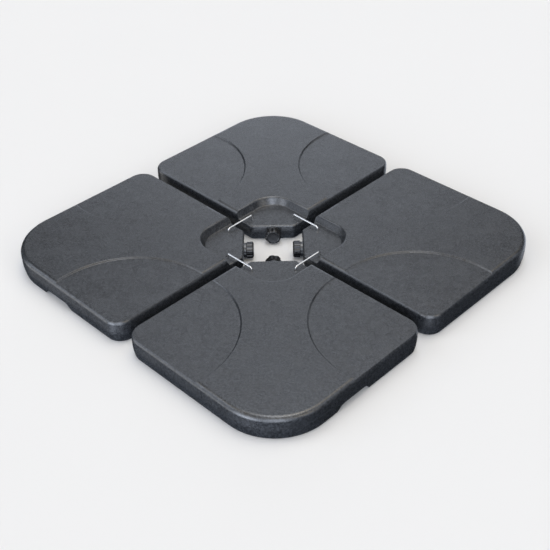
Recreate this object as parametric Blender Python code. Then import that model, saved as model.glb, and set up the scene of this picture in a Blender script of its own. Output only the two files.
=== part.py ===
"""Weight set for the cross base of a cantilever parasol.

Four fillable plastic slabs stand in a square around the parasol's foot. The arms of the
cross lie in the channels between them. Wire clips tie each slab to the next, and each slab
is filled through a screw cap on its cut-off inner corner.

Metres, +Z up. The origin is on the ground at the centre of the set, and the channels run
along X and Y. Every slab is the same moulding turned by quarter turns about Z.
"""

import math

import bmesh
import bpy
from mathutils import Matrix, Vector

# Whole set
SPAN = 0.990
CHANNEL_WIDTH = 0.026
OUTER_FACE = SPAN / 2
INNER_FACE = CHANNEL_WIDTH / 2
CORNERS = ("rear_right", "rear_left", "front_left", "front_right")
ARMS = ("right", "rear", "left", "front")
TOUCH_GAP = 0.0003

# Slab moulding
BAND_HEIGHT = 0.0640
CORNER_HEIGHT = 0.0605
PARTING_HEIGHT = 0.032
LOWER_DRAFT = 0.0040
LOWER_CURVE = 1.6  # above 1, the lower wall is steepest just under the parting line
WALL = 0.0030
TOP_ROUND = 0.012
HOLLOW_TOP_SHARE = 0.7  # of the top round that the hollow's sloping shoulder takes
BOTTOM_ROUND = 0.0045
OUTER_CORNER_RADIUS = 0.146
SIDE_CORNER_RADIUS = 0.042
FACET_CORNER_RADIUS = 0.018
FACET_DISTANCE = 0.075
FOOT_HEIGHT = 0.0022
FOOT_START_INNER = 0.075
FOOT_START_OUTER = 0.335

# Arcs on the top, where the raised diagonal band drops to the side corners
STEP_ARC_RADIUS = 0.232
STEP_ARC_FROM_CHANNEL = 0.0096
STEP_ARC_FROM_RIM = 0.0373
STEP_WIDTH = 0.0045

# Sunken floor around the foot of the parasol
RECESS_FLOOR = 0.044
RECESS_HALF_WIDTH = 0.1415
RECESS_CORNER_RADIUS = 0.0605
RECESS_DRAFT = 0.0065
RIM_ROUND = 0.0055
SUNK_EDGE_ROUND = 0.0045

# Hand grip moulded under the middle of one outer side
GRIP_MIDDLE = (INNER_FACE + OUTER_FACE) / 2
GRIP_HALF_MOUTH = 0.053
GRIP_HALF_ROOF = 0.033
GRIP_HEIGHT = 0.0195
GRIP_DEPTH = 0.028
GRIP_SKIRT = 0.002
GRIP_SHOULDER = ((0.35, 0.50), (0.62, 0.88))

# Filler neck, which points at the centre of the set. Heights along it start at the facet.
FILLER_HEIGHT = 0.0235
COLLAR_RADIUS = 0.0185
COLLAR_LENGTH = 0.0063
NECK_RADIUS = 0.0158
NECK_END = 0.0198
NECK_BORE = 0.0140
NECK_FLARE = 0.0164
NECK_FLARE_LENGTH = 0.0055
NECK_FLARE_SLOPE = 0.0005
THREAD_PITCH = 0.0045
THREAD_DEPTH = 0.0010
THREAD_ROOT = 0.0018
THREAD_CREST = 0.0009
THREAD_SUNK = 0.0004
THREAD_MARGIN = 0.0016
THREAD_END_SHARE = 0.25
THREAD_END_STEPS = 2
NECK_THREAD_TURNS = 1.5
CAP_THREAD_TURNS = 1.0

# Screw cap and the sealing disc inside it
CAP_CREST = 0.0212
CAP_LOBES = 6
CAP_BACK = 0.0067
CAP_FRONT = 0.0248
CAP_FRONT_ROUND = 0.0042
CAP_FACE_RADIUS = 0.0158
CAP_ROOF = 0.0224
CAP_BORE = 0.0172
CAP_TURN = {"rear_right": 0.65, "rear_left": 0.72, "front_left": 0.16, "front_right": 0.67}
SEAL_RADIUS = 0.0166
SEAL_EDGE = 0.0003

# Wire clip and its sockets in the sunken floor
WIRE_RADIUS = 0.0024
CLIP_LINE = 0.1195
CLIP_HALF_SPREAD = 0.0437
CLIP_RISE = 0.0085
CLIP_BEND = 0.0055
CLIP_LEG_DEPTH = 0.012
SOCKET_RADIUS = 0.0028
SOCKET_BOSS_RADIUS = 0.0065
SOCKET_DEPTH = CLIP_LEG_DEPTH + TOUCH_GAP

# Facet counts of the round shapes
FACET_ARC_STEPS = 2
SIDE_ARC_STEPS = 5
OUTER_ARC_STEPS = 10
RECESS_ARC_STEPS = 8
ROUND_STEPS = 24
THREAD_STEPS = 18
LOBE_STEPS = 6
STEP_ARC_STEPS = 52
BOSS_STEPS = 12
SOCKET_STEPS = 10
WIRE_SIDES = 8
WIRE_BEND_STEPS = 4

# Colours, then roughness
SLAB_PLASTIC = ((0.075, 0.082, 0.092), 0.55)
CAP_PLASTIC = ((0.018, 0.018, 0.020), 0.40)
SEAL_RUBBER = ((0.03, 0.03, 0.03), 0.80)
CLIP_WIRE = ((0.86, 0.87, 0.88), 0.18)

# How far cutting solids reach past what they cut
OVERSHOOT = 0.02
SMALL_OVERSHOOT = 0.001


def make_material(name, colour, roughness, metallic=0.0):
    material = bpy.data.materials.new(name)
    material.use_nodes = True
    shader = material.node_tree.nodes["Principled BSDF"]
    shader.inputs["Base Color"].default_value = (*colour, 1.0)
    shader.inputs["Roughness"].default_value = roughness
    shader.inputs["Metallic"].default_value = metallic
    return material


def make_object(name, mesh, material=None):
    item = bpy.data.objects.new(name, mesh)
    bpy.context.collection.objects.link(item)
    if material:
        mesh.materials.clear()
        mesh.materials.append(material)
    return item


def finish_mesh(name, work):
    bmesh.ops.recalc_face_normals(work, faces=work.faces)
    mesh = bpy.data.meshes.new(name)
    work.to_mesh(mesh)
    work.free()
    return mesh


def skin_rings(name, rings):
    """Solid through a stack of rings of equal point counts, closed at both ends."""
    work = bmesh.new()
    loops = [[work.verts.new(point) for point in ring] for ring in rings]
    for low, high in zip(loops, loops[1:]):
        for index in range(len(low)):
            after = (index + 1) % len(low)
            work.faces.new((low[index], low[after], high[after], high[index]))
    work.faces.new(reversed(loops[0]))
    work.faces.new(loops[-1])
    return finish_mesh(name, work)


def bake_modifiers(item):
    """Replace an object's mesh with the shape that its modifiers give."""
    graph = bpy.context.evaluated_depsgraph_get()
    shaped = bpy.data.meshes.new_from_object(item.evaluated_get(graph))
    item.modifiers.clear()
    item.data = shaped


def combine(item, tool_mesh, operation):
    """Boolean with a solid that is removed afterwards."""
    tool = make_object("tool", tool_mesh)
    modifier = item.modifiers.new("shape", "BOOLEAN")
    modifier.operation = operation
    modifier.solver = "EXACT"
    modifier.object = tool
    bake_modifiers(item)
    bpy.data.objects.remove(tool)


def shade(mesh, sharp_degrees=35):
    mesh.shade_smooth()
    mesh.set_sharp_from_angle(angle=math.radians(sharp_degrees))


def circle(radius, height, steps=ROUND_STEPS, centre=(0, 0)):
    turns = [2 * math.pi * step / steps for step in range(steps)]
    return [(centre[0] + radius * math.cos(turn), centre[1] + radius * math.sin(turn), height)
            for turn in turns]


def stack(name, levels, steps=ROUND_STEPS, centre=(0, 0)):
    """Solid of revolution from (radius, height) levels, bottom to top."""
    return skin_rings(name, [circle(radius, height, steps, centre) for radius, height in levels])


def arc(centre, radius, start, end, steps):
    angles = [math.radians(start + (end - start) * step / steps) for step in range(steps + 1)]
    return [(centre[0] + radius * math.cos(angle), centre[1] + radius * math.sin(angle))
            for angle in angles]


def slab_outline(inset, height):
    """Plan of the slab in the +X +Y quarter, anticlockwise, moved inwards by inset."""
    facet_near = INNER_FACE + FACET_CORNER_RADIUS
    facet_far = (FACET_DISTANCE + FACET_CORNER_RADIUS) * math.sqrt(2) - facet_near
    side_near = INNER_FACE + SIDE_CORNER_RADIUS
    side_far = OUTER_FACE - SIDE_CORNER_RADIUS
    outer = OUTER_FACE - OUTER_CORNER_RADIUS
    facet_round = FACET_CORNER_RADIUS - inset
    side_round = SIDE_CORNER_RADIUS - inset
    outline = arc((facet_far, facet_near), facet_round, 225, 270, FACET_ARC_STEPS)
    outline += arc((side_far, side_near), side_round, 270, 360, SIDE_ARC_STEPS)
    outline += arc((outer, outer), OUTER_CORNER_RADIUS - inset, 0, 90, OUTER_ARC_STEPS)
    outline += arc((side_near, side_far), side_round, 90, 180, SIDE_ARC_STEPS)
    outline += arc((facet_near, facet_far), facet_round, 180, 225, FACET_ARC_STEPS)
    return [(x, y, height) for x, y in outline]


def outside_profile():
    """(inset, height) pairs up the side of the slab, rounded at the bottom and the top."""
    rounded_foot = LOWER_DRAFT + BOTTOM_ROUND
    half = math.sqrt(0.5)
    levels = [(rounded_foot, 0.0),
              (rounded_foot - BOTTOM_ROUND * half, BOTTOM_ROUND * (1 - half)),
              (LOWER_DRAFT, BOTTOM_ROUND),
              (LOWER_DRAFT * 0.5 ** LOWER_CURVE, (BOTTOM_ROUND + PARTING_HEIGHT) / 2),
              (0.0, PARTING_HEIGHT)]
    for degrees in (0, 30, 60, 90):
        turn = math.radians(degrees)
        levels.append((TOP_ROUND * (1 - math.cos(turn)),
                       BAND_HEIGHT - TOP_ROUND + TOP_ROUND * math.sin(turn)))
    return levels


def hollow_profile():
    return [(WALL + LOWER_DRAFT, FOOT_HEIGHT + WALL),
            (WALL, PARTING_HEIGHT),
            (WALL, BAND_HEIGHT - TOP_ROUND),
            (WALL + TOP_ROUND * HOLLOW_TOP_SHARE, BAND_HEIGHT - WALL)]


def step_cutter(skin, mirrored):
    """Round dish that lowers the top towards one side corner, with a sloping edge."""
    centre = (INNER_FACE + STEP_ARC_FROM_CHANNEL, OUTER_FACE - STEP_ARC_FROM_RIM)
    if mirrored:
        centre = (centre[1], centre[0])
    radius = STEP_ARC_RADIUS + skin
    low = CORNER_HEIGHT - skin
    rise = BAND_HEIGHT - CORNER_HEIGHT
    levels = [(radius - STEP_WIDTH / 2, low),
              (radius + STEP_WIDTH / 2, low + rise),
              (radius + STEP_WIDTH / 2, low + rise + OVERSHOOT)]
    return stack("step", levels, STEP_ARC_STEPS, centre)


def rounded_square(half_width, radius, height):
    middle = half_width - radius
    ring = []
    for start, sign_x, sign_y in ((0, 1, 1), (90, -1, 1), (180, -1, -1), (270, 1, -1)):
        corner = (sign_x * middle, sign_y * middle)
        ring += arc(corner, radius, start, start + 90, RECESS_ARC_STEPS)
    return [(x, y, height) for x, y in ring]


def sunk_block():
    """The slab's plan up to the sunken floor, with the floor's outer edge rounded over."""
    radius = SUNK_EDGE_ROUND
    levels = [(-SMALL_OVERSHOOT, RECESS_FLOOR - radius - SMALL_OVERSHOOT * 2)]
    for degrees in (30, 60, 90):
        turn = math.radians(degrees)
        levels.append((radius * (1 - math.cos(turn)),
                       RECESS_FLOOR - radius + radius * math.sin(turn)))
    return skin_rings("sunk", [slab_outline(*level) for level in levels])


def recess_cutter(skin):
    """Rounded square over the centre of the set, down to the sunken floor."""
    top = BAND_HEIGHT - skin
    levels = [(0.0, RECESS_FLOOR - skin)]
    for degrees in (0, 45, 90):
        turn = math.radians(degrees)
        levels.append((RECESS_DRAFT + RIM_ROUND * (1 - math.cos(turn)),
                       top - RIM_ROUND + RIM_ROUND * math.sin(turn)))
    levels.append((levels[-1][0], top + OVERSHOOT))
    if not skin:
        levels.insert(0, (0.0, RECESS_FLOOR - SUNK_EDGE_ROUND - SMALL_OVERSHOOT))
    rings = [rounded_square(RECESS_HALF_WIDTH + skin + spread,
                            RECESS_CORNER_RADIUS + skin + spread, height)
             for spread, height in levels]
    cutter = make_object("recess", skin_rings("recess", rings))
    if not skin:
        combine(cutter, sunk_block(), "DIFFERENCE")
    mesh = cutter.data
    bpy.data.objects.remove(cutter)
    return mesh


def grip_cutter(skin):
    """Finger space under the middle of the outer side at +Y, open downwards and outwards."""
    roof = GRIP_HEIGHT + skin
    mouth = GRIP_HALF_MOUTH + skin
    run = GRIP_HALF_MOUTH - GRIP_HALF_ROOF
    half = [(mouth, -OVERSHOOT), (mouth, GRIP_SKIRT)]
    half += [(mouth - run * inwards, roof * up) for inwards, up in GRIP_SHOULDER]
    half.append((mouth - run, roof))
    section = [(GRIP_MIDDLE + out, z) for out, z in half]
    section += [(GRIP_MIDDLE - out, z) for out, z in reversed(half)]
    back = OUTER_FACE - GRIP_DEPTH - skin
    rings = [[(x, y, z) for x, z in section] for y in (OUTER_FACE + OVERSHOOT, back)]
    return skin_rings("grip", rings)


def foot_relief(along_x):
    """Shallow slot across the underside that leaves a foot at each corner."""
    across = (-OVERSHOOT, OUTER_FACE + OVERSHOOT)
    between = (FOOT_START_INNER, FOOT_START_OUTER)
    (x0, x1), (y0, y1) = (across, between) if along_x else (between, across)
    ring = ((x0, y0), (x1, y0), (x1, y1), (x0, y1))
    return skin_rings("relief", [[(x, y, z) for x, y in ring] for z in (-OVERSHOOT, FOOT_HEIGHT)])


def slab_form(name, profile, skin):
    """The slab's shape as a full solid, a distance skin inside its surface."""
    form = make_object(name, skin_rings(name, [slab_outline(*level) for level in profile]))
    combine(form, step_cutter(skin, False), "DIFFERENCE")
    combine(form, step_cutter(skin, True), "DIFFERENCE")
    combine(form, recess_cutter(skin), "DIFFERENCE")
    combine(form, grip_cutter(skin), "DIFFERENCE")
    return form


def filler_frame(corner):
    """Frame of a slab's filler: origin on the facet, local Z towards the centre of the set."""
    outward = math.radians(45 + 90 * CORNERS.index(corner))
    towards_centre = Vector((-math.cos(outward), -math.sin(outward), 0))
    up = Vector((0, 0, 1))
    sideways = up.cross(towards_centre)
    origin = -towards_centre * FACET_DISTANCE + up * FILLER_HEIGHT
    axes = Matrix((sideways, up, towards_centre)).transposed().to_4x4()
    return Matrix.Translation(origin) @ axes


def thread(name, base_radius, outwards, first_height, turns, first_turn):
    """Helical ridge with a tapered section, sunk a little into the wall that carries it."""
    steps = round(turns * THREAD_STEPS)
    sections = []
    for step in range(steps + 1):
        angle = 2 * math.pi * (first_turn + step / THREAD_STEPS)
        height = first_height + THREAD_PITCH * step / THREAD_STEPS
        run_in = min(step, steps - step, THREAD_END_STEPS) / THREAD_END_STEPS
        share = THREAD_END_SHARE + (1 - THREAD_END_SHARE) * run_in
        crest = base_radius + outwards * THREAD_DEPTH * share
        root = base_radius - outwards * THREAD_SUNK
        section = ((root, -THREAD_ROOT / 2), (crest, -THREAD_CREST / 2),
                   (crest, THREAD_CREST / 2), (root, THREAD_ROOT / 2))
        sections.append([(r * math.cos(angle), r * math.sin(angle), height + rise)
                         for r, rise in section])
    return skin_rings(name, sections)


def neck_thread_start():
    return NECK_END - THREAD_MARGIN - NECK_THREAD_TURNS * THREAD_PITCH


def neck_thread():
    return thread("thread", NECK_RADIUS, 1, neck_thread_start(), NECK_THREAD_TURNS, 0.0)


def cap_thread():
    """Ridge inside the cap, half a pitch from the neck's so that the two mesh."""
    start = CAP_BACK + THREAD_MARGIN
    first_turn = (start - neck_thread_start()) / THREAD_PITCH - 0.5
    return thread("thread", CAP_BORE, -1, start, CAP_THREAD_TURNS, first_turn)


def slab_mesh():
    """Hollow slab of the +X +Y quarter, with its neck, clip sockets, feet and grip."""
    slab = slab_form("slab", outside_profile(), 0.0)
    for along_x in (True, False):
        combine(slab, foot_relief(along_x), "DIFFERENCE")

    frame = filler_frame("rear_right")
    collar_back = -WALL / 2 - LOWER_DRAFT
    neck = stack("neck", [(COLLAR_RADIUS, collar_back), (COLLAR_RADIUS, COLLAR_LENGTH),
                          (NECK_RADIUS, COLLAR_LENGTH), (NECK_RADIUS, NECK_END)])
    ridge = neck_thread()
    for shape in (neck, ridge):
        shape.transform(frame)
        combine(slab, shape, "UNION")

    hollow = slab_form("hollow", hollow_profile(), WALL)
    sockets = ((CLIP_LINE, CLIP_HALF_SPREAD), (CLIP_HALF_SPREAD, CLIP_LINE))
    socket_bottom = RECESS_FLOOR - SOCKET_DEPTH
    for centre in sockets:
        boss = stack("boss", [(SOCKET_BOSS_RADIUS, socket_bottom - WALL),
                              (SOCKET_BOSS_RADIUS, RECESS_FLOOR)], BOSS_STEPS, centre)
        combine(hollow, boss, "DIFFERENCE")
    combine(slab, hollow.data, "DIFFERENCE")
    bpy.data.objects.remove(hollow)

    flare_end = -WALL - NECK_FLARE_SLOPE
    bore = stack("bore", [(NECK_FLARE, flare_end - NECK_FLARE_LENGTH), (NECK_FLARE, flare_end),
                          (NECK_BORE, 0.0), (NECK_BORE, NECK_END + OVERSHOOT)])
    bore.transform(frame)
    combine(slab, bore, "DIFFERENCE")
    for centre in sockets:
        hole = stack("hole", [(SOCKET_RADIUS, socket_bottom),
                              (SOCKET_RADIUS, RECESS_FLOOR + OVERSHOOT)], SOCKET_STEPS, centre)
        combine(slab, hole, "DIFFERENCE")
    mesh = slab.data
    bpy.data.objects.remove(slab)
    shade(mesh)
    return mesh


def lobed_ring(share, height, turn):
    """Ring of the knob: bulging lobes and narrow grooves, or, as share drops to 0, a circle."""
    ring = []
    for lobe in range(CAP_LOBES):
        for step in range(LOBE_STEPS):
            off_middle = (step / LOBE_STEPS - 0.5) * 2 * math.pi / CAP_LOBES
            lobed = CAP_CREST * math.cos(off_middle)
            radius = CAP_FACE_RADIUS + (lobed - CAP_FACE_RADIUS) * share
            angle = (lobe + turn) * 2 * math.pi / CAP_LOBES + off_middle
            ring.append((-radius * math.sin(angle), radius * math.cos(angle), height))
    return ring


def cap_mesh(turn):
    """Lobed screw cap, open at the back, with a rounded front and an inside thread."""
    shoulder = CAP_FRONT - CAP_FRONT_ROUND
    blend = math.sqrt(0.5)
    rings = [lobed_ring(1.0, CAP_BACK, turn),
             lobed_ring(1.0, shoulder, turn),
             lobed_ring(blend, shoulder + CAP_FRONT_ROUND * blend, turn),
             lobed_ring(0.0, CAP_FRONT, turn)]
    cap = make_object("cap", skin_rings("cap", rings))
    combine(cap, stack("bore", [(CAP_BORE, CAP_BACK - OVERSHOOT), (CAP_BORE, CAP_ROOF)]),
            "DIFFERENCE")
    combine(cap, cap_thread(), "UNION")
    mesh = cap.data
    bpy.data.objects.remove(cap)
    shade(mesh)
    return mesh


def seal_mesh():
    """Rubber disc between the cap's roof and the end of the neck."""
    back = NECK_END + TOUCH_GAP
    front = CAP_ROOF - TOUCH_GAP
    mesh = stack("seal", [(SEAL_RADIUS - SEAL_EDGE, back), (SEAL_RADIUS, back + SEAL_EDGE),
                          (SEAL_RADIUS, front - SEAL_EDGE), (SEAL_RADIUS - SEAL_EDGE, front)])
    shade(mesh)
    return mesh


def clip_path():
    """Centre line of the clip in its own XZ plane, from one leg's end to the other's."""
    straight_end = CLIP_HALF_SPREAD - CLIP_BEND
    bend_height = CLIP_RISE - CLIP_BEND
    path = [(-CLIP_HALF_SPREAD, -CLIP_LEG_DEPTH)]
    path += arc((-straight_end, bend_height), CLIP_BEND, 180, 90, WIRE_BEND_STEPS)
    path += arc((straight_end, bend_height), CLIP_BEND, 90, 0, WIRE_BEND_STEPS)
    path.append((CLIP_HALF_SPREAD, -CLIP_LEG_DEPTH))
    return [Vector((x, 0, z)) for x, z in path]


def clip_mesh():
    """Round wire bent into a staple."""
    path = clip_path()
    across = Vector((0, 1, 0))
    rings = []
    for index, point in enumerate(path):
        before = path[max(index - 1, 0)]
        after = path[min(index + 1, len(path) - 1)]
        normal = across.cross((after - before).normalized())
        ring = []
        for side in range(WIRE_SIDES):
            angle = 2 * math.pi * (side + 0.5) / WIRE_SIDES
            ring.append(point + WIRE_RADIUS * (normal * math.cos(angle) + across * math.sin(angle)))
        rings.append(ring)
    mesh = skin_rings("clip", rings)
    shade(mesh)
    return mesh


def build():
    for item in list(bpy.data.objects):
        bpy.data.objects.remove(item)
    slab_plastic = make_material("slab_plastic", *SLAB_PLASTIC)
    cap_plastic = make_material("cap_plastic", *CAP_PLASTIC)
    seal_rubber = make_material("seal_rubber", *SEAL_RUBBER)
    clip_wire = make_material("clip_wire", *CLIP_WIRE, metallic=1.0)

    slab = slab_mesh()
    seal = seal_mesh()
    clip = clip_mesh()
    for index, corner in enumerate(CORNERS):
        moulding = make_object("slab_" + corner, slab, slab_plastic)
        moulding.rotation_euler.z = math.radians(90 * index)
        disc = make_object("seal_" + corner, seal, seal_rubber)
        disc.matrix_world = filler_frame(corner)
        cap = make_object("cap_" + corner, cap_mesh(CAP_TURN[corner]), cap_plastic)
        cap.matrix_world = filler_frame(corner)
    for index, arm in enumerate(ARMS):
        wire = make_object("clip_" + arm, clip, clip_wire)
        direction = math.radians(90 * index)
        wire.location = (CLIP_LINE * math.cos(direction), CLIP_LINE * math.sin(direction), RECESS_FLOOR)
        wire.rotation_euler.z = direction + math.pi / 2


build()
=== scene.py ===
import math

import bmesh
import bpy
from mathutils import Matrix, Vector


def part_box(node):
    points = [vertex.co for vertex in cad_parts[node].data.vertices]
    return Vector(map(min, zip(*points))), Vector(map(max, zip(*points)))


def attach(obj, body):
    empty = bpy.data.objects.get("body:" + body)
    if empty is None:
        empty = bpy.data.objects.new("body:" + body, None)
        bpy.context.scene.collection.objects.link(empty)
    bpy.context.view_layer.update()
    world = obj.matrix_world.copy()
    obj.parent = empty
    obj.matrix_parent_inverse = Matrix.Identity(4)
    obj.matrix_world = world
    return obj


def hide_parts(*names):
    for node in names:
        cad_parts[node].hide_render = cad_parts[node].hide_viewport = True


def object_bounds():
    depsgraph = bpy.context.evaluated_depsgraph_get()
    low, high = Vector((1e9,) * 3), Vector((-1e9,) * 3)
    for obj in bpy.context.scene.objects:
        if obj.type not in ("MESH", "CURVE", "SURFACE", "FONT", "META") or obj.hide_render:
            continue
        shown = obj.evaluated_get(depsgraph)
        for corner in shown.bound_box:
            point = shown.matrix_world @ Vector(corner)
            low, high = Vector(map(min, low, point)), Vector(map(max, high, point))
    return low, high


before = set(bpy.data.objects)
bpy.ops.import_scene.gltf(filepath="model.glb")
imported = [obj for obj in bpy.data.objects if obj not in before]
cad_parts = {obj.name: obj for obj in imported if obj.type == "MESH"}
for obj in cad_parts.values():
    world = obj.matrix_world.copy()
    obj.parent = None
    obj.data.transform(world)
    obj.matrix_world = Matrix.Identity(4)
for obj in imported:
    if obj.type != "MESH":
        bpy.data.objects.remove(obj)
CAD_LOW, CAD_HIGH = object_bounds()

# Sizes in metres, as in the CAD. Each slab is the +X +Y one turned by quarter turns.
CORNERS = ("rear_right", "rear_left", "front_left", "front_right")
ARMS = ("right", "rear", "left", "front")
OUTER_FACE = CAD_HIGH.x
INNER_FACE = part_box("slab_rear_right")[0].x
BAND_HEIGHT = CAD_HIGH.z
CORNER_HEIGHT = 0.0605
PARTING_HEIGHT = 0.032
LOWER_DRAFT = 0.0040
LOWER_CURVE = 1.6  # above 1, the lower wall is steepest just under the parting line
WALL = 0.0030
TOP_ROUND = 0.012
BOTTOM_ROUND = 0.0045
HOLLOW_TOP_SHARE = 0.7  # of the top round that the hollow's sloping shoulder takes
SEAM_DEPTH = 0.00015
SEAM_HALF_HEIGHT = 0.0004
OUTER_CORNER_RADIUS = 0.146
SIDE_CORNER_RADIUS = 0.042
FACET_CORNER_RADIUS = 0.018
FACET_DISTANCE = 0.075
FOOT_HEIGHT = 0.0022
FOOT_START_INNER = 0.075
FOOT_START_OUTER = 0.335
STEP_ARC_RADIUS = 0.232
STEP_ARC_FROM_CHANNEL = 0.0096
STEP_ARC_FROM_RIM = 0.0373
STEP_WIDTH = 0.0045
RECESS_FLOOR = 0.044
RECESS_HALF_WIDTH = 0.1415
RECESS_CORNER_RADIUS = 0.0605
RECESS_DRAFT = 0.0065
RECESS_FILLET = 0.0025
RIM_ROUND = 0.0055
SUNK_EDGE_ROUND = 0.0045
SUNK_EDGE_SPREAD = 0.001
GRIP_MIDDLE = (INNER_FACE + OUTER_FACE) / 2
GRIP_HALF_MOUTH = 0.053
GRIP_HALF_ROOF = 0.033
GRIP_HEIGHT = 0.0195
GRIP_DEPTH = 0.028
GRIP_LIP = 0.002
GRIP_CURVE = ((0.35, 0.5), (0.62, 0.88))  # shares of the run inwards and of the roof's height
FILLER_HEIGHT = 0.0235
COLLAR_RADIUS = 0.0185
COLLAR_LENGTH = 0.0063
COLLAR_CHAMFER = 0.0006
NECK_RADIUS = 0.0158
NECK_END = 0.0198
NECK_CHAMFER = 0.0005
NECK_BORE = 0.0140
NECK_FLARE = 0.0164
NECK_FLARE_SLOPE = 0.0005
NECK_FLARE_LENGTH = 0.0055
THREAD_PITCH = 0.0045
THREAD_DEPTH = 0.0010
THREAD_ROOT = 0.0018
THREAD_CREST = 0.0009
THREAD_SUNK = 0.0004
THREAD_END_GAP = 0.0016
THREAD_RUN_OUT_STEPS = 4
THREAD_RUN_OUT_SHARE = 0.25  # of the thread's depth, at its very end
NECK_THREAD_TURNS = 1.5
CAP_THREAD_TURNS = 1.0
CAP_CREST = 0.0212
CAP_LOBES = 6
CAP_BACK = 0.0067
CAP_BACK_CHAMFER = 0.0004
CAP_FRONT = 0.0248
CAP_FRONT_ROUND = 0.0042
CAP_FACE_RADIUS = 0.0158
CAP_ROOF = 0.0224
CAP_BORE = 0.0172
GROOVE_HALF_ANGLE = math.radians(3.0)
FACE_DISH = 0.0007
FACE_EDGE_INSETS = (0.0006, 0.0012, 0.0018)
FACE_PIP = ((0.0128, 0.0), (0.0134, 0.0003))  # inset and rise of the small raised middle
CAP_TURN = {"rear_right": 0.65, "rear_left": 0.72, "front_left": 0.16, "front_right": 0.67}
SEAL_RADIUS = 0.0166
SEAL_SOFT_EDGE = 0.0004
SEAL_DENT = 0.0002
TOUCH_GAP = 0.0003
WIRE_RADIUS = 0.0024
CLIP_LINE = 0.1195
CLIP_HALF_SPREAD = 0.0437
CLIP_RISE = 0.0085
CLIP_BEND = 0.0055
CLIP_LEG_DEPTH = 0.012
CLIP_END_CHAMFER = 0.0004
SOCKET_RADIUS = 0.0028
SOCKET_BOSS_RADIUS = 0.0065
SOCKET_DEPTH = CLIP_LEG_DEPTH + TOUCH_GAP
SOCKET_CHAMFER = 0.0009
SOCKET_CHAMFER_RISE = 0.0001  # past the floor, so that the chamfer cuts its edge cleanly
OVERSHOOT = 0.02

# Steps of the curves
ROUND_STEPS = 64
FACET_CORNER_STEPS = 6
SIDE_CORNER_STEPS = 14
OUTER_CORNER_STEPS = 30
BOTTOM_ROUND_STEPS = 5
LOWER_WALL_STEPS = 7
TOP_ROUND_STEPS = 10
STEP_ARC_STEPS = 160
STEP_SLOPE_STEPS = 8
RECESS_CORNER_STEPS = 22
RECESS_FILLET_STEPS = 4
RIM_ROUND_STEPS = 6
SUNK_EDGE_STEPS = 6
GRIP_CURVE_STEPS = 5
BOSS_STEPS = 24
SOCKET_STEPS = 32
CAP_FRONT_STEPS = 7
CLIP_BEND_STEPS = 12


# ---------------------------------------------------------------- mesh helpers

def make_object(name, mesh):
    item = bpy.data.objects.new(name, mesh)
    bpy.context.scene.collection.objects.link(item)
    return item


def finish_mesh(name, work):
    bmesh.ops.recalc_face_normals(work, faces=work.faces)
    mesh = bpy.data.meshes.new(name)
    work.to_mesh(mesh)
    work.free()
    return mesh


def skin_rings(name, rings):
    """Solid through a stack of rings of equal point counts, closed at both ends."""
    work = bmesh.new()
    loops = [[work.verts.new(point) for point in ring] for ring in rings]
    for low, high in zip(loops, loops[1:]):
        for index in range(len(low)):
            after = (index + 1) % len(low)
            work.faces.new((low[index], low[after], high[after], high[index]))
    work.faces.new(reversed(loops[0]))
    work.faces.new(loops[-1])
    return finish_mesh(name, work)


def bake_modifiers(item):
    graph = bpy.context.evaluated_depsgraph_get()
    shaped = bpy.data.meshes.new_from_object(item.evaluated_get(graph))
    item.modifiers.clear()
    item.data = shaped


def combine(item, tool_mesh, operation):
    tool = make_object("tool", tool_mesh)
    modifier = item.modifiers.new("shape", "BOOLEAN")
    modifier.operation = operation
    modifier.solver = "EXACT"
    modifier.object = tool
    bake_modifiers(item)
    bpy.data.objects.remove(tool)


def shade(item, sharp_degrees=40):
    """Smooth shading that leaves large flat faces flat."""
    item.data.shade_smooth()
    item.data.set_sharp_from_angle(angle=math.radians(sharp_degrees))
    modifier = item.modifiers.new("normals", "WEIGHTED_NORMAL")
    modifier.keep_sharp = True
    modifier.weight = 100
    bake_modifiers(item)


def circle(radius, height, steps=ROUND_STEPS, centre=(0, 0)):
    turns = [2 * math.pi * step / steps for step in range(steps)]
    return [(centre[0] + radius * math.cos(turn), centre[1] + radius * math.sin(turn), height)
            for turn in turns]


def stack(name, levels, steps=ROUND_STEPS, centre=(0, 0)):
    return skin_rings(name, [circle(radius, height, steps, centre) for radius, height in levels])


def arc(centre, radius, start, end, steps):
    angles = [math.radians(start + (end - start) * step / steps) for step in range(steps + 1)]
    return [(centre[0] + radius * math.cos(angle), centre[1] + radius * math.sin(angle))
            for angle in angles]


# ---------------------------------------------------------------- slab

def slab_outline(inset, height):
    """Plan of the +X +Y slab, anticlockwise, moved inwards by inset."""
    facet_near = INNER_FACE + FACET_CORNER_RADIUS
    facet_far = (FACET_DISTANCE + FACET_CORNER_RADIUS) * math.sqrt(2) - facet_near
    side_near = INNER_FACE + SIDE_CORNER_RADIUS
    side_far = OUTER_FACE - SIDE_CORNER_RADIUS
    outer = OUTER_FACE - OUTER_CORNER_RADIUS
    facet_round = FACET_CORNER_RADIUS - inset
    side_round = SIDE_CORNER_RADIUS - inset
    outline = arc((facet_far, facet_near), facet_round, 225, 270, FACET_CORNER_STEPS)
    outline += arc((side_far, side_near), side_round, 270, 360, SIDE_CORNER_STEPS)
    outline += arc((outer, outer), OUTER_CORNER_RADIUS - inset, 0, 90, OUTER_CORNER_STEPS)
    outline += arc((side_near, side_far), side_round, 90, 180, SIDE_CORNER_STEPS)
    outline += arc((facet_near, facet_far), facet_round, 180, 225, FACET_CORNER_STEPS)
    return [(x, y, height) for x, y in outline]


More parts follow.
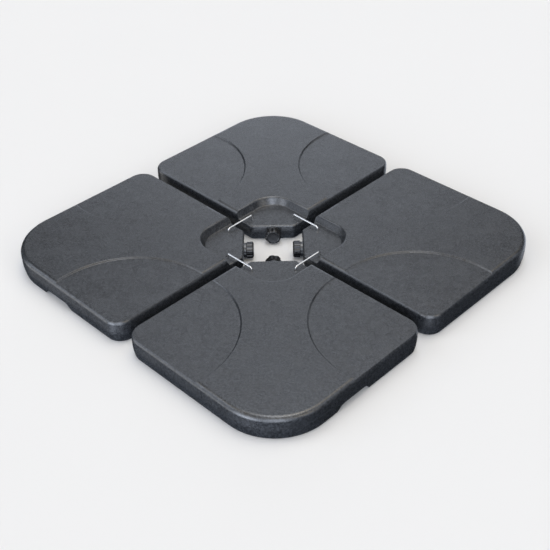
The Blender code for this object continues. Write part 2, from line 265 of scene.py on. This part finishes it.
def outside_profile():
    """(inset, height) pairs up the side: rounded foot, lower wall, seam and rounded top edge."""
    levels = []
    for step in range(BOTTOM_ROUND_STEPS + 1):
        turn = math.radians(90 * step / BOTTOM_ROUND_STEPS)
        levels.append((LOWER_DRAFT + BOTTOM_ROUND * (1 - math.sin(turn)),
                       BOTTOM_ROUND * (1 - math.cos(turn))))
    for step in range(1, LOWER_WALL_STEPS):
        share = step / LOWER_WALL_STEPS
        levels.append((LOWER_DRAFT * (1 - share) ** LOWER_CURVE,
                       BOTTOM_ROUND + (PARTING_HEIGHT - BOTTOM_ROUND) * share))
    levels += [(SEAM_DEPTH, PARTING_HEIGHT - SEAM_HALF_HEIGHT),
               (0.0, PARTING_HEIGHT + SEAM_HALF_HEIGHT)]
    for step in range(TOP_ROUND_STEPS + 1):
        turn = math.radians(90 * step / TOP_ROUND_STEPS)
        levels.append((TOP_ROUND * (1 - math.cos(turn)),
                       BAND_HEIGHT - TOP_ROUND + TOP_ROUND * math.sin(turn)))
    return levels


def hollow_profile():
    """(inset, height) pairs up the inside of the wall."""
    return [(WALL + LOWER_DRAFT, FOOT_HEIGHT + WALL),
            (WALL, PARTING_HEIGHT),
            (WALL, BAND_HEIGHT - TOP_ROUND),
            (WALL + TOP_ROUND * HOLLOW_TOP_SHARE, BAND_HEIGHT - WALL)]


def step_cutter(skin, mirrored):
    """Round dish that lowers the top towards one side corner, with a soft sloping edge."""
    centre = (INNER_FACE + STEP_ARC_FROM_CHANNEL, OUTER_FACE - STEP_ARC_FROM_RIM)
    if mirrored:
        centre = (centre[1], centre[0])
    radius = STEP_ARC_RADIUS + skin
    low = CORNER_HEIGHT - skin
    rise = BAND_HEIGHT - CORNER_HEIGHT
    levels = []
    for step in range(STEP_SLOPE_STEPS + 1):
        share = step / STEP_SLOPE_STEPS
        eased = share * share * (3 - 2 * share)
        levels.append((radius + STEP_WIDTH * (share - 0.5), low + rise * eased))
    levels.append((radius + STEP_WIDTH / 2, low + rise + OVERSHOOT))
    return stack("step", levels, STEP_ARC_STEPS, centre)


def rounded_square(half_width, radius, height):
    middle = half_width - radius
    ring = []
    for start, sign_x, sign_y in ((0, 1, 1), (90, -1, 1), (180, -1, -1), (270, 1, -1)):
        ring += arc((sign_x * middle, sign_y * middle), radius, start, start + 90,
                    RECESS_CORNER_STEPS)
    return [(x, y, height) for x, y in ring]


def sunk_block():
    """Top of the sunken floor, rounded along the channel and the facet."""
    radius = SUNK_EDGE_ROUND
    levels = [(-SUNK_EDGE_SPREAD, RECESS_FLOOR - radius * 1.5)]
    for step in range(1, SUNK_EDGE_STEPS + 1):
        turn = math.radians(90 * step / SUNK_EDGE_STEPS)
        levels.append((radius * (1 - math.cos(turn)),
                       RECESS_FLOOR - radius + radius * math.sin(turn)))
    return skin_rings("sunk", [slab_outline(*level) for level in levels])


def recess_cutter(skin):
    """Rounded square over the centre of the set, down to the sunken floor."""
    top = BAND_HEIGHT - skin
    levels = []
    if skin:
        levels.append((0.0, RECESS_FLOOR - skin))
    else:
        levels.append((-RECESS_FILLET, RECESS_FLOOR - SUNK_EDGE_ROUND * 1.2))
        for step in range(RECESS_FILLET_STEPS + 1):
            turn = math.radians(90 * step / RECESS_FILLET_STEPS)
            levels.append((-RECESS_FILLET * (1 - math.sin(turn)),
                           RECESS_FLOOR + RECESS_FILLET * (1 - math.cos(turn))))
    for step in range(RIM_ROUND_STEPS + 1):
        turn = math.radians(90 * step / RIM_ROUND_STEPS)
        levels.append((RECESS_DRAFT + RIM_ROUND * (1 - math.cos(turn)),
                       top - RIM_ROUND + RIM_ROUND * math.sin(turn)))
    levels.append((levels[-1][0], top + OVERSHOOT))
    rings = [rounded_square(RECESS_HALF_WIDTH + skin + spread,
                            RECESS_CORNER_RADIUS + skin + spread, height)
             for spread, height in levels]
    cutter = make_object("recess", skin_rings("recess", rings))
    if not skin:
        combine(cutter, sunk_block(), "DIFFERENCE")
    mesh = cutter.data
    bpy.data.objects.remove(cutter)
    return mesh


def grip_section(skin):
    """Half of the grip's opening as (distance from its middle, height), a curve through knots."""
    roof = GRIP_HEIGHT + skin
    mouth = GRIP_HALF_MOUTH + skin
    run = GRIP_HALF_MOUTH - GRIP_HALF_ROOF
    half = [(mouth, -OVERSHOOT), (mouth, GRIP_LIP)]
    knots = [(mouth, GRIP_LIP)]
    knots += [(mouth - run * inwards, roof * rise) for inwards, rise in GRIP_CURVE]
    knots.append((mouth - run, roof))
    last = len(knots) - 1
    for index in range(last):
        before = Vector(knots[max(index - 1, 0)])
        start = Vector(knots[index])
        end = Vector(knots[index + 1])
        after = Vector(knots[min(index + 2, last)])
        for step in range(1, GRIP_CURVE_STEPS + 1):
            t = step / GRIP_CURVE_STEPS
            point = (start * 2 + (end - before) * t
                     + (before * 2 - start * 5 + end * 4 - after) * t * t
                     + (start * 3 - before - end * 3 + after) * t ** 3) / 2
            half.append((point.x, min(point.y, roof)))
    return half


def grip_cutter(skin):
    """Finger grip under the middle of the slab's +Y side."""
    half = grip_section(skin)
    section = [(GRIP_MIDDLE + out, z) for out, z in half]
    section += [(GRIP_MIDDLE - out, z) for out, z in reversed(half)]
    back = OUTER_FACE - GRIP_DEPTH - skin
    rings = [[(x, y, z) for x, z in section] for y in (OUTER_FACE + OVERSHOOT, back)]
    return skin_rings("grip", rings)


def foot_relief(along_x):
    """Shallow cut under the slab that leaves a foot at each corner."""
    across = (-OVERSHOOT, OUTER_FACE + OVERSHOOT)
    between = (FOOT_START_INNER, FOOT_START_OUTER)
    (x0, x1), (y0, y1) = (across, between) if along_x else (between, across)
    ring = ((x0, y0), (x1, y0), (x1, y1), (x0, y1))
    return skin_rings("relief", [[(x, y, z) for x, y in ring] for z in (-OVERSHOOT, FOOT_HEIGHT)])


def slab_form(name, profile, skin):
    """The slab's shape, or with a skin its hollow, which keeps that far from every cut."""
    form = make_object(name, skin_rings(name, [slab_outline(*level) for level in profile]))
    combine(form, step_cutter(skin, False), "DIFFERENCE")
    combine(form, step_cutter(skin, True), "DIFFERENCE")
    combine(form, recess_cutter(skin), "DIFFERENCE")
    combine(form, grip_cutter(skin), "DIFFERENCE")
    return form


def filler_frame(corner):
    """Origin on the facet, local Z towards the centre of the set, local Y up."""
    outward = math.radians(45 + 90 * CORNERS.index(corner))
    towards_centre = Vector((-math.cos(outward), -math.sin(outward), 0))
    up = Vector((0, 0, 1))
    sideways = up.cross(towards_centre)
    origin = -towards_centre * FACET_DISTANCE + up * FILLER_HEIGHT
    axes = Matrix((sideways, up, towards_centre)).transposed().to_4x4()
    return Matrix.Translation(origin) @ axes


def thread(base_radius, outwards, first_height, turns, first_turn, turn_steps=36):
    """Ridge that winds up a neck (outwards 1) or a cap's bore (-1) and runs out at both ends."""
    steps = round(turns * turn_steps)
    sections = []
    for step in range(steps + 1):
        angle = 2 * math.pi * (first_turn + step / turn_steps)
        height = first_height + THREAD_PITCH * step / turn_steps
        grown = min(step, steps - step, THREAD_RUN_OUT_STEPS) / THREAD_RUN_OUT_STEPS
        depth = THREAD_DEPTH * (THREAD_RUN_OUT_SHARE + (1 - THREAD_RUN_OUT_SHARE) * grown)
        crest = base_radius + outwards * depth
        root = base_radius - outwards * THREAD_SUNK
        section = ((root, -THREAD_ROOT / 2), (crest, -THREAD_CREST / 2),
                   (crest, THREAD_CREST / 2), (root, THREAD_ROOT / 2))
        sections.append([(r * math.cos(angle), r * math.sin(angle), height + rise)
                         for r, rise in section])
    return skin_rings("thread", sections)


NECK_THREAD_START = NECK_END - THREAD_END_GAP - NECK_THREAD_TURNS * THREAD_PITCH


def neck_thread():
    return thread(NECK_RADIUS, 1, NECK_THREAD_START, NECK_THREAD_TURNS, 0.0)


def cap_thread():
    """Runs half a pitch from the neck's thread, so that the two mesh."""
    start = CAP_BACK + THREAD_END_GAP
    first_turn = (start - NECK_THREAD_START) / THREAD_PITCH - 0.5
    return thread(CAP_BORE, -1, start, CAP_THREAD_TURNS, first_turn)


def slab_mesh():
    """Hollow slab of the +X +Y quarter, with its neck, clip sockets, feet and grip."""
    slab = slab_form("slab", outside_profile(), 0.0)
    for along_x in (True, False):
        combine(slab, foot_relief(along_x), "DIFFERENCE")

    place = filler_frame("rear_right")
    collar_back = -WALL / 2 - LOWER_DRAFT
    neck = stack("neck", [(COLLAR_RADIUS, collar_back),
                          (COLLAR_RADIUS, COLLAR_LENGTH - COLLAR_CHAMFER),
                          (COLLAR_RADIUS - COLLAR_CHAMFER, COLLAR_LENGTH),
                          (NECK_RADIUS, COLLAR_LENGTH),
                          (NECK_RADIUS, NECK_END - NECK_CHAMFER),
                          (NECK_RADIUS - NECK_CHAMFER, NECK_END)])
    ridge = neck_thread()
    for shape in (neck, ridge):
        shape.transform(place)
        combine(slab, shape, "UNION")

    hollow = slab_form("hollow", hollow_profile(), WALL)
    sockets = ((CLIP_LINE, CLIP_HALF_SPREAD), (CLIP_HALF_SPREAD, CLIP_LINE))
    socket_bottom = RECESS_FLOOR - SOCKET_DEPTH
    for centre in sockets:
        boss = stack("boss", [(SOCKET_BOSS_RADIUS, socket_bottom - WALL),
                              (SOCKET_BOSS_RADIUS, RECESS_FLOOR)], BOSS_STEPS, centre)
        combine(hollow, boss, "DIFFERENCE")
    combine(slab, hollow.data, "DIFFERENCE")
    bpy.data.objects.remove(hollow)

    flare_end = -WALL - NECK_FLARE_SLOPE
    bore = stack("bore", [(NECK_FLARE, flare_end - NECK_FLARE_LENGTH), (NECK_FLARE, flare_end),
                          (NECK_BORE, 0.0), (NECK_BORE, NECK_END + OVERSHOOT)])
    bore.transform(place)
    combine(slab, bore, "DIFFERENCE")
    for centre in sockets:
        hole = stack("hole", [(SOCKET_RADIUS, socket_bottom),
                              (SOCKET_RADIUS, RECESS_FLOOR - SOCKET_CHAMFER + SOCKET_CHAMFER_RISE),
                              (SOCKET_RADIUS + SOCKET_CHAMFER, RECESS_FLOOR + SOCKET_CHAMFER_RISE),
                              (SOCKET_RADIUS + SOCKET_CHAMFER, RECESS_FLOOR + OVERSHOOT)],
                     SOCKET_STEPS, centre)
        combine(slab, hole, "DIFFERENCE")
    shade(slab)
    mesh = slab.data
    bpy.data.objects.remove(slab)
    return mesh


# ---------------------------------------------------------------- cap, seal, clip

def lobe_radius(off_middle):
    """Bulging lobe, with the groove between two lobes rounded out."""
    edge = math.pi / CAP_LOBES
    blend = GROOVE_HALF_ANGLE
    angle = abs(off_middle)
    if angle <= edge - blend:
        return CAP_CREST * math.cos(angle)
    slope = math.sin(edge - blend)
    travel = angle - (edge - blend)
    return CAP_CREST * (math.cos(edge - blend) - slope * (travel - travel ** 2 / (2 * blend)))


def lobed_ring(share, height, turn, steps=20, shrink=0.0):
    """Ring between the round face (share 0) and the full lobes (share 1)."""
    ring = []
    for lobe in range(CAP_LOBES):
        for step in range(steps):
            off_middle = (step / steps - 0.5) * 2 * math.pi / CAP_LOBES
            radius = CAP_FACE_RADIUS + (lobe_radius(off_middle) - CAP_FACE_RADIUS) * share - shrink
            angle = (lobe + turn) * 2 * math.pi / CAP_LOBES + off_middle
            ring.append((-radius * math.sin(angle), radius * math.cos(angle), height))
    return ring


def cap_mesh(turn):
    """Lobed screw cap with a rounded front, a slightly sunken face and a thread inside."""
    shoulder = CAP_FRONT - CAP_FRONT_ROUND
    rings = [lobed_ring(1.0, CAP_BACK, turn, shrink=CAP_BACK_CHAMFER),
             lobed_ring(1.0, CAP_BACK + CAP_BACK_CHAMFER, turn),
             lobed_ring(1.0, shoulder, turn)]
    for step in range(1, CAP_FRONT_STEPS + 1):
        angle = math.radians(90 * step / CAP_FRONT_STEPS)
        rings.append(lobed_ring(math.cos(angle), shoulder + CAP_FRONT_ROUND * math.sin(angle), turn))
    for index, inwards in enumerate(FACE_EDGE_INSETS):
        share = index / (len(FACE_EDGE_INSETS) - 1)
        sink = FACE_DISH * share ** 2 * (3 - 2 * share)
        rings.append(lobed_ring(0.0, CAP_FRONT - sink, turn, shrink=inwards))
    for inwards, rise in FACE_PIP:
        rings.append(lobed_ring(0.0, CAP_FRONT - FACE_DISH + rise, turn, shrink=inwards))
    cap = make_object("cap", skin_rings("cap", rings))
    combine(cap, stack("bore", [(CAP_BORE, CAP_BACK - OVERSHOOT), (CAP_BORE, CAP_ROOF)]),
            "DIFFERENCE")
    combine(cap, cap_thread(), "UNION")
    shade(cap)
    mesh = cap.data
    bpy.data.objects.remove(cap)
    return mesh


def seal_mesh():
    """Rubber disc with softened edges, pressed a little hollow where the neck's end bears on it."""
    back = NECK_END + TOUCH_GAP
    front = CAP_ROOF - TOUCH_GAP
    soft = SEAL_SOFT_EDGE
    levels = [(NECK_BORE - 3 * soft, back), (NECK_BORE - 2 * soft, back + SEAL_DENT),
              (NECK_RADIUS - TOUCH_GAP, back + SEAL_DENT), (NECK_RADIUS + SEAL_DENT / 2, back),
              (SEAL_RADIUS - soft, back), (SEAL_RADIUS, back + soft),
              (SEAL_RADIUS, front - soft), (SEAL_RADIUS - soft, front)]
    seal = make_object("seal", stack("seal", levels))
    shade(seal, 60)
    mesh = seal.data
    bpy.data.objects.remove(seal)
    return mesh


def clip_path():
    """Middle line of the wire, from the foot of one leg over the crossbar to the other."""
    straight_end = CLIP_HALF_SPREAD - CLIP_BEND
    bend_height = CLIP_RISE - CLIP_BEND
    path = [(-CLIP_HALF_SPREAD, -CLIP_LEG_DEPTH), (-CLIP_HALF_SPREAD, -CLIP_LEG_DEPTH / 2)]
    path += arc((-straight_end, bend_height), CLIP_BEND, 180, 90, CLIP_BEND_STEPS)
    path += arc((straight_end, bend_height), CLIP_BEND, 90, 0, CLIP_BEND_STEPS)
    path += [(CLIP_HALF_SPREAD, -CLIP_LEG_DEPTH / 2), (CLIP_HALF_SPREAD, -CLIP_LEG_DEPTH)]
    return [Vector((x, 0, z)) for x, z in path]


def clip_mesh(sides=24):
    """Round wire bent into a staple, with cut ends that are slightly chamfered."""
    path = clip_path()
    across = Vector((0, 1, 0))
    rings = []
    for index, point in enumerate(path):
        before = path[max(index - 1, 0)]
        after = path[min(index + 1, len(path) - 1)]
        along = (after - before).normalized()
        normal = across.cross(along)
        at_end = index in (0, len(path) - 1)
        spots = [(point, WIRE_RADIUS)]
        if at_end:
            inwards = along * (CLIP_END_CHAMFER if index == 0 else -CLIP_END_CHAMFER)
            spots = [(point, WIRE_RADIUS - CLIP_END_CHAMFER), (point + inwards, WIRE_RADIUS)]
            if index:
                spots.reverse()
        for spot, radius in spots:
            ring = []
            for side in range(sides):
                angle = 2 * math.pi * (side + 0.5) / sides
                ring.append(spot + radius * (normal * math.cos(angle) + across * math.sin(angle)))
            rings.append(ring)
    clip = make_object("clip", skin_rings("clip", rings))
    shade(clip)
    mesh = clip.data
    bpy.data.objects.remove(clip)
    return mesh


# ---------------------------------------------------------------- materials

class Shader:
    """A Principled material and short ways to add and link nodes."""

    def __init__(self, name):
        self.material = bpy.data.materials.new(name)
        self.material.use_nodes = True
        self.tree = self.material.node_tree
        self.surface = self.tree.nodes["Principled BSDF"]
        self.place = self.add("ShaderNodeTexCoord").outputs["Object"]

    def add(self, kind, **values):
        node = self.tree.nodes.new(kind)
        for key, value in values.items():
            setattr(node, key, value)
        return node

    def link(self, source, target):
        self.tree.links.new(source, target)

    def noise(self, scale, detail=2.0, roughness=0.5, distortion=0.0):
        node = self.add("ShaderNodeTexNoise")
        self.link(self.place, node.inputs["Vector"])
        node.inputs["Scale"].default_value = scale
        node.inputs["Detail"].default_value = detail
        node.inputs["Roughness"].default_value = roughness
        node.inputs["Distortion"].default_value = distortion
        return node.outputs["Fac"]

    def cells(self, scale, place):
        node = self.add("ShaderNodeTexVoronoi", feature="F1")
        self.link(place, node.inputs["Vector"])
        node.inputs["Scale"].default_value = scale
        return node.outputs["Distance"]

    def remap(self, value, low, high, to_low, to_high):
        node = self.add("ShaderNodeMapRange", interpolation_type="SMOOTHSTEP")
        self.link(value, node.inputs["Value"])
        node.inputs["From Min"].default_value = low
        node.inputs["From Max"].default_value = high
        node.inputs["To Min"].default_value = to_low
        node.inputs["To Max"].default_value = to_high
        return node.outputs["Result"]

    def maths(self, operation, first, second):
        node = self.add("ShaderNodeMath", operation=operation)
        for socket, value in zip(node.inputs, (first, second)):
            if isinstance(value, (int, float)):
                socket.default_value = value
            else:
                self.link(value, socket)
        return node.outputs["Value"]

    def blend(self, share, first, second):
        node = self.add("ShaderNodeMix", data_type="RGBA")
        self.link(share, node.inputs["Factor"])
        for socket, value in ((node.inputs[6], first), (node.inputs[7], second)):
            if isinstance(value, tuple):
                socket.default_value = (*value, 1.0)
            else:
                self.link(value, socket)
        return node.outputs[2]

    def bump(self, height, distance, strength=1.0, below=None):
        node = self.add("ShaderNodeBump")
        self.link(height, node.inputs["Height"])
        node.inputs["Distance"].default_value = distance
        node.inputs["Strength"].default_value = strength
        if below is not None:
            self.link(below, node.inputs["Normal"])
        return node.outputs["Normal"]

    def finish(self, colour, roughness, normal=None, **constants):
        self.link(colour, self.surface.inputs["Base Color"])
        self.link(roughness, self.surface.inputs["Roughness"])
        if normal is not None:
            self.link(normal, self.surface.inputs["Normal"])
        for name, value in constants.items():
            self.surface.inputs[name.replace("_", " ")].default_value = value
        return self.material


PEBBLES = 300.0  # per metre, as each texture's scale is
PEBBLE_WANDER = 0.0035
CLUMPS = 190.0
SLAB_ROUGHNESS = 0.27
SLAB_SPECULAR = 1.0
SLATE_DARK = (0.009, 0.010, 0.012)
SLATE_LIGHT = (0.015, 0.017, 0.020)
# Lighter slate for the high spots, partly scuffs and partly a painted glint on the grain.
SLATE_WORN_AND_GLINT = (0.078, 0.084, 0.094)


def slab_material():
    """Blow-moulded plastic with a leather grain, faint waviness and lighter high spots, partly
    scuffs and partly a painted glint.
    """
    s = Shader("slab_grained_plastic")
    wander = s.noise(170.0, 2.0)
    bent = s.add("ShaderNodeVectorMath", operation="MULTIPLY_ADD")
    s.link(wander, bent.inputs[0])
    bent.inputs[1].default_value = (PEBBLE_WANDER,) * 3
    s.link(s.place, bent.inputs[2])
    pebbles = s.cells(PEBBLES, bent.outputs["Vector"])
    clumps = s.noise(CLUMPS, 2.0, 0.6)
    fine = s.noise(1300.0, 3.0, 0.6)
    patches = s.noise(9.0, 3.0, 0.55)
    smears = s.noise(38.0, 4.0, 0.6)
    grain = s.remap(pebbles, 0.15, 0.75, 1.0, 0.0)
    body = s.blend(s.remap(patches, 0.3, 0.7, 0.0, 1.0), SLATE_DARK, SLATE_LIGHT)
    # The clumps and the grain's peaks are blended towards the lighter slate, partly scuffs and
    # partly a painted glint.
    clumped = s.blend(s.remap(clumps, 0.35, 0.7, 0.0, 0.5), body, SLATE_WORN_AND_GLINT)
    speckled = s.blend(s.remap(grain, 0.55, 1.0, 0.0, 0.35), clumped, SLATE_WORN_AND_GLINT)
    smeared = s.remap(smears, 0.3, 0.7, SLAB_ROUGHNESS - 0.04, SLAB_ROUGHNESS + 0.04)
    roughness = s.maths("ADD", smeared, s.remap(grain, 0.0, 1.0, 0.06, -0.04))
    waves = s.bump(s.noise(14.0, 1.0), 0.0015, 0.35)
    swells = s.bump(clumps, 0.00025, 0.6, waves)
    bumps = s.bump(grain, 0.0001, 0.8, swells)
    top = s.bump(fine, 0.00003, 0.5, bumps)
    return s.finish(speckled, roughness, top, Specular_IOR_Level=SLAB_SPECULAR)


def cap_material():
    """Glossy injection-moulded plastic with faint flow marks and handling scuffs."""
    s = Shader("cap_glossy_plastic")
    flow = s.noise(90.0, 3.0, 0.5, 0.6)
    scuffs = s.noise(700.0, 4.0, 0.7)
    colour = s.blend(s.remap(scuffs, 0.55, 0.75, 0.0, 0.5), (0.010, 0.010, 0.011),
                     (0.024, 0.024, 0.026))
    roughness = s.maths("ADD", s.remap(flow, 0.3, 0.7, 0.16, 0.24),
                        s.remap(scuffs, 0.5, 0.8, 0.0, 0.12))
    normal = s.bump(scuffs, 0.00008, 0.5, s.bump(flow, 0.0004, 0.3))
    return s.finish(colour, roughness, normal, Specular_IOR_Level=0.6)


def seal_material():
    """Soft black rubber with a little dust."""
    s = Shader("seal_rubber")
    dust = s.noise(400.0, 4.0, 0.65)
    fine = s.noise(2500.0, 2.0)
    colour = s.blend(s.remap(dust, 0.4, 0.7, 0.0, 1.0), (0.020, 0.020, 0.020),
                     (0.045, 0.044, 0.042))
    roughness = s.remap(dust, 0.3, 0.7, 0.68, 0.85)
    return s.finish(colour, roughness, s.bump(fine, 0.0001, 0.6))


def wire_material():
    """Zinc-bright drawn wire with faint draw marks and dull patches."""
    s = Shader("clip_bright_wire")
    dull = s.noise(180.0, 3.0, 0.6)
    marks = s.noise(1600.0, 2.0)
    colour = s.blend(s.remap(dull, 0.35, 0.7, 0.0, 1.0), (0.90, 0.905, 0.91),
                     (0.78, 0.79, 0.80))
    roughness = s.remap(dull, 0.3, 0.75, 0.16, 0.34)
    return s.finish(colour, roughness, s.bump(marks, 0.00006, 0.4), Metallic=1.0)


def floor_material():
    """Matte studio paper."""
    s = Shader("studio_floor")
    tone = s.noise(3.0, 2.0)
    colour = s.blend(tone, (0.80, 0.80, 0.80), (0.806, 0.806, 0.806))
    roughness = s.remap(tone, 0.3, 0.7, 0.88, 0.94)
    return s.finish(colour, roughness, Specular_IOR_Level=0.15)


# ---------------------------------------------------------------- assembly

def place_copy(name, mesh, material, matrix, body, node):
    """A copy of a mesh with its place in its points, on the CAD body and for the CAD node."""
    own = mesh.copy()
    own.transform(matrix)
    own.materials.clear()
    own.materials.append(material)
    item = make_object(name, own)
    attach(item, body)
    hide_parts(node)


def build_object():
    """Every piece, made once where it repeats and placed round the set."""
    slab_plastic = slab_material()
    cap_plastic = cap_material()
    rubber = seal_material()
    wire = wire_material()
    slab, seal, clip = slab_mesh(), seal_mesh(), clip_mesh()
    for index, corner in enumerate(CORNERS):
        turn = Matrix.Rotation(math.radians(90 * index), 4, "Z")
        filler = filler_frame(corner)
        place_copy("ballast_slab_" + corner, slab, slab_plastic, turn,
                   "slabs", "slab_" + corner)
        place_copy("filler_cap_" + corner, cap_mesh(CAP_TURN[corner]), cap_plastic, filler,
                   "cap_" + corner, "cap_" + corner)
        place_copy("sealing_disc_" + corner, seal, rubber, filler,
                   "seal_" + corner, "seal_" + corner)
    for index, arm in enumerate(ARMS):
        direction = math.radians(90 * index)
        spot = Vector((CLIP_LINE * math.cos(direction), CLIP_LINE * math.sin(direction),
                       RECESS_FLOOR))
        place = Matrix.Translation(spot) @ Matrix.Rotation(direction + math.pi / 2, 4, "Z")
        place_copy("wire_clip_" + arm, clip, wire, place,
                   "clip_" + arm, "clip_" + arm)


# ---------------------------------------------------------------- stage, light, camera

FLOOR_STEPS = 96
SWEEP = ((9.0, 0.0), (9.6, 0.05), (10.2, 0.25), (10.6, 0.6), (10.8, 1.1))  # radius and height


def add_floor():
    """Paper floor that sweeps up into a backdrop far away on every side."""
    rings = [circle(radius, height, FLOOR_STEPS) for radius, height in SWEEP]
    work = bmesh.new()
    loops = [[work.verts.new(point) for point in ring] for ring in rings]
    work.faces.new(loops[0])
    for low, high in zip(loops, loops[1:]):
        for index in range(len(low)):
            after = (index + 1) % len(low)
            work.faces.new((low[index], high[index], high[after], low[after]))
    bmesh.ops.recalc_face_normals(work, faces=work.faces)
    mesh = bpy.data.meshes.new("studio_floor")
    work.to_mesh(mesh)
    work.free()
    mesh.shade_smooth()
    mesh.materials.append(floor_material())
    floor = make_object("studio_floor", mesh)
    floor.visible_diffuse = False
    floor.visible_glossy = False
    floor.visible_shadow = False


COOL = (0.92, 1.00, 1.15)
WHITE = (1.00, 1.00, 1.00)
WARM = (1.12, 1.00, 0.80)

# Rings of round lights, from bounce cards below the horizon to the one overhead. Each ring has
# its elevation, the radius of a light's even middle and that of its edge, in degrees, then each
# light's azimuth in degrees, strength and tint.
LIGHT_RINGS = (
    (-14, 6, 28, ((225, 1.2, WHITE), (270, 4.0, COOL), (315, 1.8, COOL), (90, 1.4, COOL))),
    (11, 6, 26, ((225, 0.5, COOL), (270, 2.2, COOL), (315, 2.7, COOL), (0, 0.6, COOL),
                 (135, 1.3, COOL))),
    (34, 6, 24, ((225, 1.6, COOL), (270, 0.6, WARM), (315, 1.6, COOL), (0, 1.3, WARM),
                 (45, 0.6, COOL), (135, 0.2, WHITE))),
    (56, 6, 20, ((225, 0.9, WARM), (315, 0.7, WARM), (45, 0.6, COOL), (90, 1.1, WARM),
                 (135, 1.0, COOL))),
    (75, 4, 15, ((315, 1.1, WHITE), (0, 1.3, WHITE), (45, 1.5, WARM), (90, 1.6, WARM),
                 (135, 1.9, WHITE), (180, 1.7, WHITE))),
    (90, 4, 14, ((0, 3.2, COOL),)),
)


def add_world():
    """Studio of soft round lights all around, above and below the horizon."""
    world = bpy.data.worlds.new("studio")
    bpy.context.scene.world = world
    world.use_nodes = True
    tree = world.node_tree
    direction = tree.nodes.new("ShaderNodeTexCoord").outputs["Generated"]

    def vector_node(operation, first, second):
        node = tree.nodes.new("ShaderNodeVectorMath")
        node.operation = operation
        tree.links.new(first, node.inputs[0])
        if isinstance(second, tuple):
            node.inputs[1].default_value = second
        else:
            tree.links.new(second, node.inputs[1])
        return node

    def round_light(azimuth, elevation, middle, edge, colour):
        azimuth, elevation = math.radians(azimuth), math.radians(elevation)
        axis = (math.cos(elevation) * math.cos(azimuth),
                math.cos(elevation) * math.sin(azimuth), math.sin(elevation))
        facing = vector_node("DOT_PRODUCT", direction, axis).outputs["Value"]
        ramp = tree.nodes.new("ShaderNodeMapRange")
        ramp.interpolation_type = "SMOOTHSTEP"
        tree.links.new(facing, ramp.inputs["Value"])
        ramp.inputs["From Min"].default_value = math.cos(math.radians(edge))
        ramp.inputs["From Max"].default_value = math.cos(math.radians(middle))
        return vector_node("MULTIPLY", ramp.outputs["Result"], colour).outputs["Vector"]

    total = None
    for elevation, middle, edge, lights in LIGHT_RINGS:
        for azimuth, strength, tint in lights:
            colour = tuple(strength * part for part in tint)
            light = round_light(azimuth, elevation, middle, edge, colour)
            if total is not None:
                light = vector_node("ADD", total, light).outputs["Vector"]
            total = light
    tree.links.new(total, tree.nodes["Background"].inputs["Color"])


CAMERA_ANGLES = (45.196, 37.645, -1.342)  # azimuth from the front, elevation and roll, in degrees
CAMERA_DISTANCE = 2.579
CAMERA_RIGHT = 0.0026
CAMERA_UP = -0.0473
CAMERA_LENS = 65.55  # in millimetres, as the sensor's width is
CAMERA_SENSOR = 36.0


def add_camera():
    """Looks down at the set from its front right corner, with a slight roll."""
    azimuth, elevation, roll = (math.radians(angle) for angle in CAMERA_ANGLES)
    back = Vector((math.sin(azimuth) * math.cos(elevation),
                   -math.cos(azimuth) * math.cos(elevation), math.sin(elevation)))
    right = Vector((math.cos(azimuth), math.sin(azimuth), 0))
    up = back.cross(right)
    rolled_right = right * math.cos(roll) + up * math.sin(roll)
    rolled_up = up * math.cos(roll) - right * math.sin(roll)
    place = Matrix((rolled_right, rolled_up, back)).transposed().to_4x4()
    place.translation = back * CAMERA_DISTANCE + right * CAMERA_RIGHT + up * CAMERA_UP
    data = bpy.data.cameras.new("camera")
    data.sensor_fit = "HORIZONTAL"
    data.sensor_width = CAMERA_SENSOR
    data.lens = CAMERA_LENS
    camera = bpy.data.objects.new("camera", data)
    bpy.context.scene.collection.objects.link(camera)
    camera.matrix_world = place
    bpy.context.scene.camera = camera


add_camera()
build_object()
add_floor()
add_world()
bpy.context.scene.view_settings.view_transform = "Standard"
